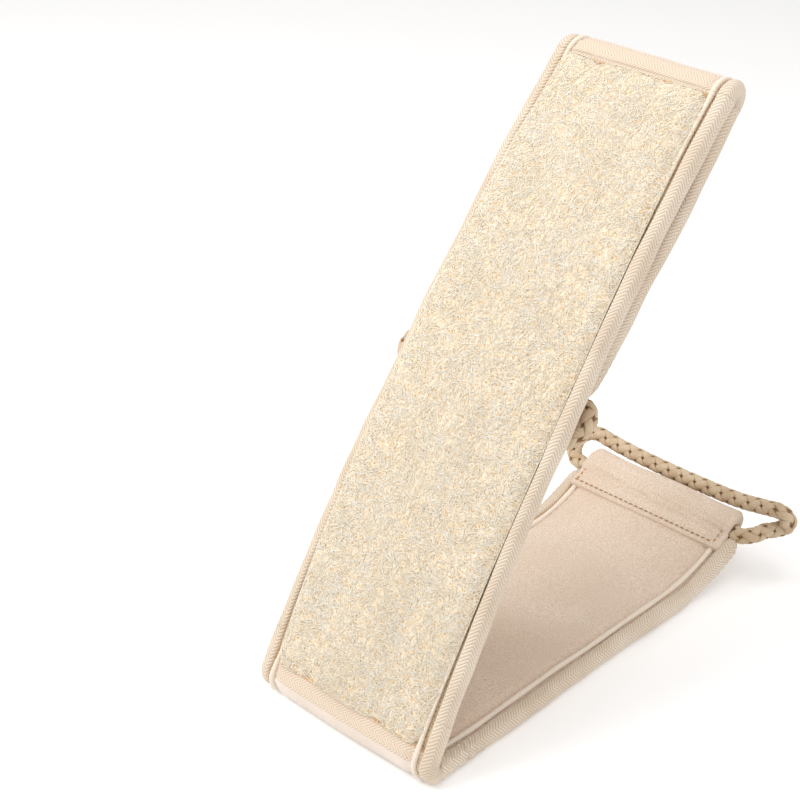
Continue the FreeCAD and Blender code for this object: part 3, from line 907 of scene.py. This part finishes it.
# ---------------------------------------------------------------- hems
def sleeve_outline():
    """The hem's outline along and up, from the seam over the top, round the nose and back below."""
    top_along = np.linspace(-1.6, 14, 22)
    flap = 10.5 - 0.5 * smoothstep(top_along, 3.5, 6.2)
    bulge = 2.3 * smoothstep(top_along, 6.2, 12.8)
    top = np.stack((top_along, flap + bulge), -1)
    turn = np.radians(np.linspace(90, -90, 22)[1:-1])
    nose_along = 14 + 11.2 * np.abs(np.cos(turn)) ** 0.9
    nose_up = 6.1 + np.where(np.sin(turn) > 0, 6.2, 6.0) * np.sign(np.sin(turn)) * (
        np.abs(np.sin(turn)) ** 0.85)
    nose = np.stack((nose_along, nose_up), -1)
    bottom_along = np.linspace(14, -1.6, 16)
    bottom = np.stack((bottom_along, np.full(16, 0.15)), -1)
    wall_up = np.linspace(0.15, 10.3, 8)[1:-1]
    wall = np.stack((np.full(6, -1.9), wall_up), -1)
    return np.concatenate((top, nose, bottom, wall))


def make_sleeve(section):
    outline = sleeve_outline()
    across = rows_between(-HEM_HALF, HEM_HALF, 0.8)
    x = across[:, None]
    y = outline[None, :, 0]
    z = outline[None, :, 1]
    from_end = HEM_HALF - np.abs(x)
    rounding = np.sqrt(np.clip(1 - (1 - np.clip(from_end / 3.2, 0, 1)) ** 2, 0, 1))
    pull = 0.62 + 0.38 * rounding
    is_top = smoothstep(z, 6, 9)
    creases = (0.3 * np.sin(y * 0.9 + 0.5 * np.sin(x / 12)) * np.sin(x / 15 + 1)
               + 0.2 * np.sin(y * 2.1 + x / 7.5) + 0.22 * np.sin(x / 4.3 + y / 5)
               * smoothstep(np.abs(x), 26, 45))
    gather = 0.9 * smoothstep(-x, 30, 44) * np.sin(np.clip(y, 0, 25) / 25 * math.pi)
    free = smoothstep(y, 2, 8)
    z = z + is_top * free * (creases + gather) * rounding
    y = y + 0.35 * np.sin(x / 9 + 0.6) * smoothstep(y, 15, 24)
    y = TUNNEL_ALONG + (y - TUNNEL_ALONG) * np.where(y > TUNNEL_ALONG, pull, 0.9 + 0.1 * rounding)
    z = TUNNEL_HEIGHT + (z - TUNNEL_HEIGHT) * pull
    outside = hem_point(section, x, y, np.maximum(z, 0.12))
    turn = np.arctan2(outline[:, 1] - TUNNEL_HEIGHT, outline[:, 0] - TUNNEL_ALONG)
    order = np.unwrap(turn)
    inside_across = across[::-1][::6]
    inside = hem_point(section, inside_across[:, None],
                       TUNNEL_ALONG + TUNNEL_RADIUS * np.cos(order)[None, :],
                       TUNNEL_HEIGHT + TUNNEL_RADIUS * np.sin(order)[None, :])
    points = np.concatenate((outside, inside, outside[:1]))
    u = np.concatenate((across, inside_across, across[:1]))
    shape = Shape()
    shape.add_grid(points[:-1], u[:-1], around_lengths(outline[:, 0], outline[:, 1]), caps=False)
    close_sleeve(shape, len(points) - 1, len(outline))
    piece = shape.build(section + "_hem_cloth", MATERIALS["terry"])
    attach(piece, section + "_section")
    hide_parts(section + "_hem_sleeve")


def close_sleeve(shape, rows, columns):
    """Joins the tunnel's last ring to the sleeve's first, which closes the sleeve's left end."""
    last = (rows - 1) * columns
    around = np.arange(columns)
    following = (around + 1) % columns
    shape.quads.append(np.stack((last + around, last + following, following, around), -1))
    shape.quad_uvs.append(np.zeros((columns, 4, 2)))


STITCH_PITCH = 3.1
STITCH_LENGTH = STITCH_PITCH * 0.72
STITCH_RADIUS = 0.3


def add_stitch(shape, section, x, y, z, top):
    """One thread stitch from the first of two places in the hem to the second, humped between."""
    start, end = hem_point(section, x, y, z)
    lift = hem_point(section, x[0], y[0], top) - start
    share = np.linspace(0, 1, 7)[:, None]
    hump = np.sin(share * math.pi)
    middle = start * (1 - share) + end * share + lift * hump
    direction = (end - start) / np.linalg.norm(end - start)
    up = lift / max(np.linalg.norm(lift), 1e-9)
    side = np.cross(direction, up)
    turn = np.linspace(0, 2 * math.pi, 6, endpoint=False)[None, :, None]
    size = STITCH_RADIUS * np.maximum(hump ** 0.4, 0.3)[:, None, :]
    ring = middle[:, None, :] + size * (np.cos(turn) * side + np.sin(turn) * up)
    lengths = share[:, 0] * np.linalg.norm(end - start)
    shape.add_grid(ring, lengths, np.linspace(0, 2 * math.pi * STITCH_RADIUS, 7))


def make_hem_stitches(section):
    """The row that closes the hem, and the short rows that close its ends."""
    shape = Shape()
    first = -HEM_HALF + 2.2
    for index in range(int((2 * HEM_HALF - 4) / STITCH_PITCH)):
        x = first + index * STITCH_PITCH
        add_stitch(shape, section, (x, x + STITCH_LENGTH), (1.1, 1.25), (10.62, 10.62), 11.02)
    for x in (-HEM_HALF + 3.4, HEM_HALF - 3.4):
        for index in range(3):
            y = 1.6 + index * STITCH_PITCH
            add_stitch(shape, section, (x, x), (y, y + STITCH_LENGTH), (10.5, 10.35), 10.95)
    piece = shape.build(section + "_hem_thread", MATERIALS["thread"])
    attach(piece, section + "_section")
    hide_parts(section + "_hem_stitching")


# ---------------------------------------------------------------- rope hand loops
STRANDS_EACH_WAY = 3
BRAID_PITCH = 24.0
STRAND_CENTRE = 2.65
STRAND_WIDTH = 2.05
STRAND_DEPTH = 1.2
STRAND_WEAVE = 0.34    # how far a strand rises and dips as it crosses the others
CORE_RADIUS = 2.3


def route_line(section, route):
    """The loop's middle line, in metres, read from a NURBS spline through the route."""
    curve = bpy.data.curves.new(section + "_route", "CURVE")
    curve.dimensions = "3D"
    curve.resolution_u = 24
    spline = curve.splines.new("NURBS")
    spline.points.add(len(route) - 1)
    for point, place in zip(spline.points, route):
        point.co = (*(hem_point(section, *place) * MM), 1)
    spline.order_u = 3
    spline.use_endpoint_u = True
    holder = new_object(section + "_route", curve)
    bpy.context.view_layer.update()
    mesh = bpy.data.meshes.new_from_object(holder.evaluated_get(
        bpy.context.evaluated_depsgraph_get()))
    line = np.array([vertex.co for vertex in mesh.vertices])
    bpy.data.objects.remove(holder)
    bpy.data.meshes.remove(mesh)
    return line


def even_line(line, step):
    """The line's points spaced evenly, with their distances from its start."""
    lengths = np.concatenate(((0,), np.cumsum(np.linalg.norm(np.diff(line, axis=0), axis=1))))
    wanted = np.linspace(0, lengths[-1], int(lengths[-1] / step) + 1)
    points = np.stack([np.interp(wanted, lengths, line[:, axis]) for axis in range(3)], -1)
    return points, wanted


def moving_frames(points):
    """A sideways and an upward direction at each point, carried along without turning."""
    tangents = np.gradient(points, axis=0)
    tangents /= np.linalg.norm(tangents, axis=1)[:, None]
    side = np.cross(tangents[0], (0.0, 0.0, 1.0))
    side /= np.linalg.norm(side)
    sides = []
    for tangent in tangents:
        side = side - tangent * (side @ tangent)
        side /= np.linalg.norm(side)
        sides.append(side)
    sides = np.array(sides)
    return tangents, sides, np.cross(sides, tangents)


def add_strand(shape, points, distance, frames, start_turn, way):
    """One strand of the braid, over and under the strands that run the other way."""
    _, sides, ups = frames
    turn = start_turn + way * 2 * math.pi * distance / BRAID_PITCH
    crossings = 2 * STRANDS_EACH_WAY * distance / BRAID_PITCH
    over = np.cos(math.pi * crossings) * way
    radius = STRAND_CENTRE + STRAND_WEAVE * over
    out = sides * np.cos(turn)[:, None] + ups * np.sin(turn)[:, None]
    centre = points + out * radius[:, None]
    ahead = np.gradient(centre, axis=0)
    ahead /= np.linalg.norm(ahead, axis=1)[:, None]
    flat = np.cross(ahead, out)
    flat /= np.linalg.norm(flat, axis=1)[:, None]
    around = np.linspace(0, 2 * math.pi, 9, endpoint=False)
    width = STRAND_WIDTH * (1 + 0.12 * over)
    ring = (centre[:, None] + flat[:, None] * (width[:, None] * np.cos(around))[..., None]
            + out[:, None] * (STRAND_DEPTH * np.sin(around))[None, :, None])
    shape.add_grid(ring, distance, np.linspace(0, STRAND_ROUND, 10))


def make_rope_loop(section, route):
    line = route_line(section, route)
    points, distance = even_line(line / MM, 0.75)
    frames = moving_frames(points)
    shape = Shape()
    for index in range(STRANDS_EACH_WAY):
        start_turn = 2 * math.pi * index / STRANDS_EACH_WAY
        add_strand(shape, points, distance, frames, start_turn, 1)
        add_strand(shape, points, distance, frames, start_turn, -1)
    around = np.linspace(0, 2 * math.pi, 10, endpoint=False)[None, :, None]
    _, sides, ups = frames
    around_core = sides[:, None] * np.cos(around) + ups[:, None] * np.sin(around)
    core = points[:, None] + CORE_RADIUS * around_core
    shape.add_grid(core, distance, np.linspace(0, 14.0, 11))
    piece = shape.build(section + "_rope_braid", MATERIALS["rope"])
    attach(piece, section + "_handle")
    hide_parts(section + "_rope_loop")


# ---------------------------------------------------------------- camera, light and floor
CAMERA_AZIMUTH = math.radians(41.0)
CAMERA_ELEVATION = math.radians(28.0)
CAMERA_ROLL = math.radians(2.8)
CAMERA_DISTANCE = 750.0
CAMERA_ASIDE = 20.1
CAMERA_ABOVE = 140.6
LENS = 78.98
SENSOR = 36.0


def camera_axes():
    back = np.array((math.sin(CAMERA_AZIMUTH) * math.cos(CAMERA_ELEVATION),
                     -math.cos(CAMERA_AZIMUTH) * math.cos(CAMERA_ELEVATION),
                     math.sin(CAMERA_ELEVATION)))
    level = np.array((math.cos(CAMERA_AZIMUTH), math.sin(CAMERA_AZIMUTH), 0))
    upright = np.cross(back, level)
    right = level * math.cos(CAMERA_ROLL) + upright * math.sin(CAMERA_ROLL)
    up = upright * math.cos(CAMERA_ROLL) - level * math.sin(CAMERA_ROLL)
    return right, up, back


def make_camera():
    right, up, back = camera_axes()
    data = bpy.data.cameras.new("camera")
    data.lens = LENS
    data.sensor_width = SENSOR
    camera = new_object("camera", data)
    place = (FOLD_FOOT + right * CAMERA_ASIDE + up * CAMERA_ABOVE + back * CAMERA_DISTANCE) * MM
    rows = np.stack((right, up, back, place), 1).tolist()
    camera.matrix_world = Matrix(rows + [(0, 0, 0, 1)])
    bpy.context.scene.camera = camera


def make_light(name, place, size, power, colour=(1, 1, 1)):
    """An area light that faces the middle of the strap."""
    data = bpy.data.lights.new(name, "AREA")
    data.shape = "DISK"
    data.size = size
    data.energy = power
    data.color = colour
    light = new_object(name, data)
    middle = Vector(((cad_box[0][i] + cad_box[1][i]) / 2 for i in range(3)))
    light.location = place
    light.rotation_euler = (middle - Vector(place)).to_track_quat("-Z", "Y").to_euler()


def make_lights():
    right, up, back = camera_axes()
    key = -right * 0.75 + up * 0.75 + back * 0.55
    fill = right * 0.9 + up * 0.25 + back * 0.7
    top = np.array((0.05, 0.1, 1.3))
    make_light("key", tuple(key), 0.7, 8.0, (1.0, 0.985, 0.965))
    make_light("fill", tuple(fill), 1.0, 3.0, (0.97, 0.98, 1.0))
    make_light("top", tuple(top), 1.0, 3.9)
    world = bpy.data.worlds.new("studio")
    world.use_nodes = True
    background = world.node_tree.nodes["Background"]
    background.inputs["Color"].default_value = (1.0, 0.99, 0.98, 1)
    background.inputs["Strength"].default_value = 0.66
    bpy.context.scene.world = world
    bpy.context.scene.view_settings.view_transform = "Standard"


FLOOR_GLOW = 0.16


def make_floor():
    """A plain white floor, with a faint glow that keeps it even."""
    surface = Surface("pale_floor", 0.9)
    surface.shader.inputs["Emission Color"].default_value = (1, 1, 1, 1)
    surface.shader.inputs["Emission Strength"].default_value = FLOOR_GLOW
    material = surface.finish((0.9, 0.9, 0.9, 1))
    mesh = bpy.data.meshes.new("floor")
    half = 6.0
    corners = [(-half, -half, 0), (half, -half, 0), (half, half, 0), (-half, half, 0)]
    mesh.from_pydata(corners, [], [(0, 1, 2, 3)])
    mesh.materials.append(material)
    new_object("floor", mesh)


# ---------------------------------------------------------------- the whole scene
def dress_kept_nodes():
    """The foam, hidden rope and whipping keep their own shapes and get finished materials."""
    finishes = {"foam": "foam", "rope_in_sleeve": "rope", "rope_whipping": "thread"}
    for name, node in frame["nodes"].items():
        for ending, material in finishes.items():
            if name.endswith(ending):
                node.data.materials.clear()
                node.data.materials.append(MATERIALS[material])


make_camera()
for section, route in (("lower", LOWER_ROUTE), ("upper", UPPER_ROUTE)):
    make_rope_loop(section, route)
    make_sleeve(section)
    make_hem_stitches(section)
for stretch in STRETCHES:
    make_tapes(stretch)
    make_beads(stretch)
make_terry_faces()
make_outer_cloths()
make_loofah()
dress_kept_nodes()
make_lights()
make_floor()
